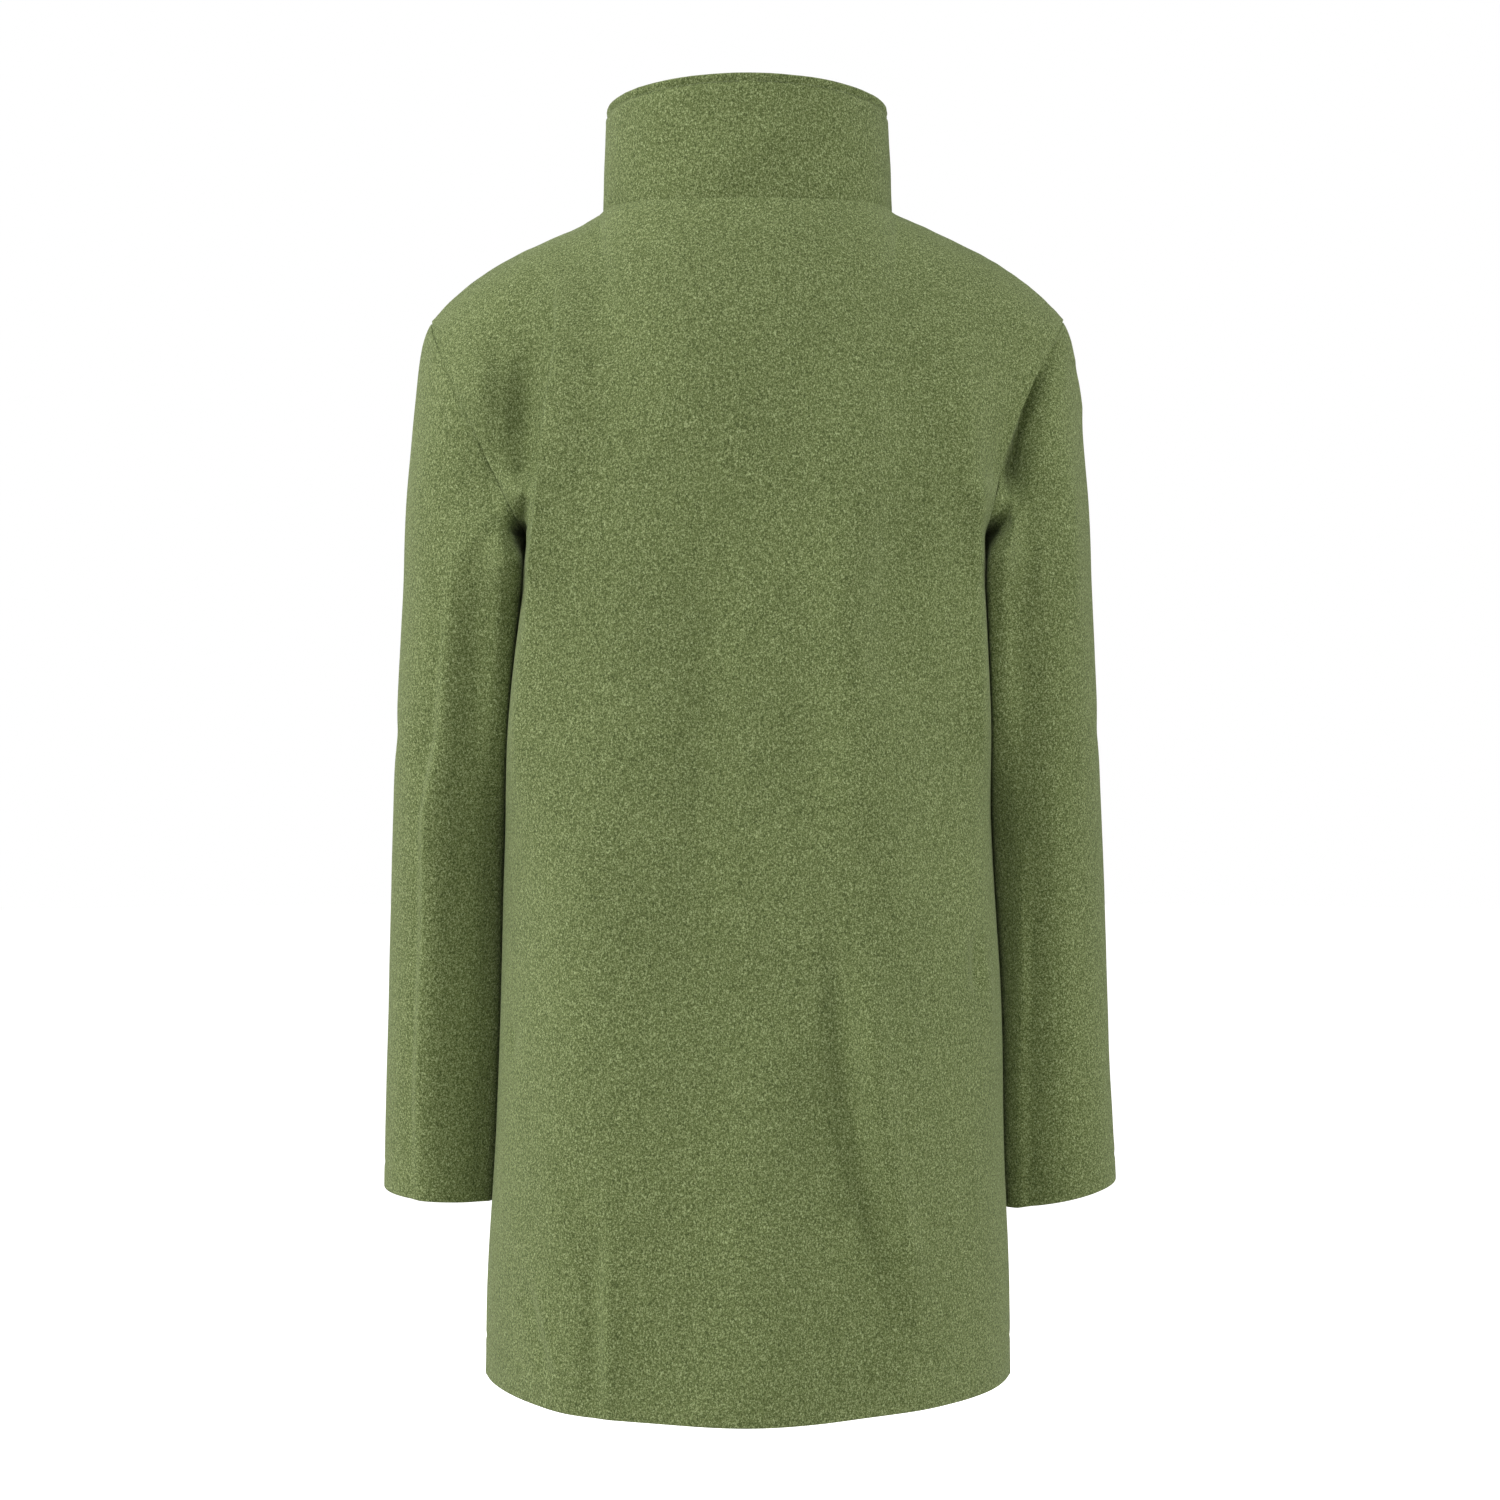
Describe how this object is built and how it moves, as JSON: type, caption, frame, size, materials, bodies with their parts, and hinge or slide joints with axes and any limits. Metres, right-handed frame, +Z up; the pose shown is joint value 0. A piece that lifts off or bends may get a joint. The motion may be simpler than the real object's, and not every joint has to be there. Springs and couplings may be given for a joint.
{
  "type": "wool coat",
  "caption": "Straight thigh-length wool coat with a high stand collar, long set-in sleeves and a buttoned front, hollow as if worn.",
  "frame": {"origin": "middle of the neckline, level with the collar seam at the centre back", "axes": "+Z up toward the collar, -Y to the garment's front, +X to the wearer's left"},
  "size_m": [0.5003, 0.3066, 0.8461],
  "materials": {
    "wool": "matte, softly brushed wool coating",
    "button": "polished horn-look resin"
  },
  "bodies": {
    "root": {"back": "wool", "front_left": "wool", "front_right": "wool", "sleeve_left": "wool", "sleeve_right": "wool", "collar": "wool", "button_1": "button", "button_2": "button", "button_3": "button", "button_4": "button", "button_5": "button"}
  },
  "joints": []
}
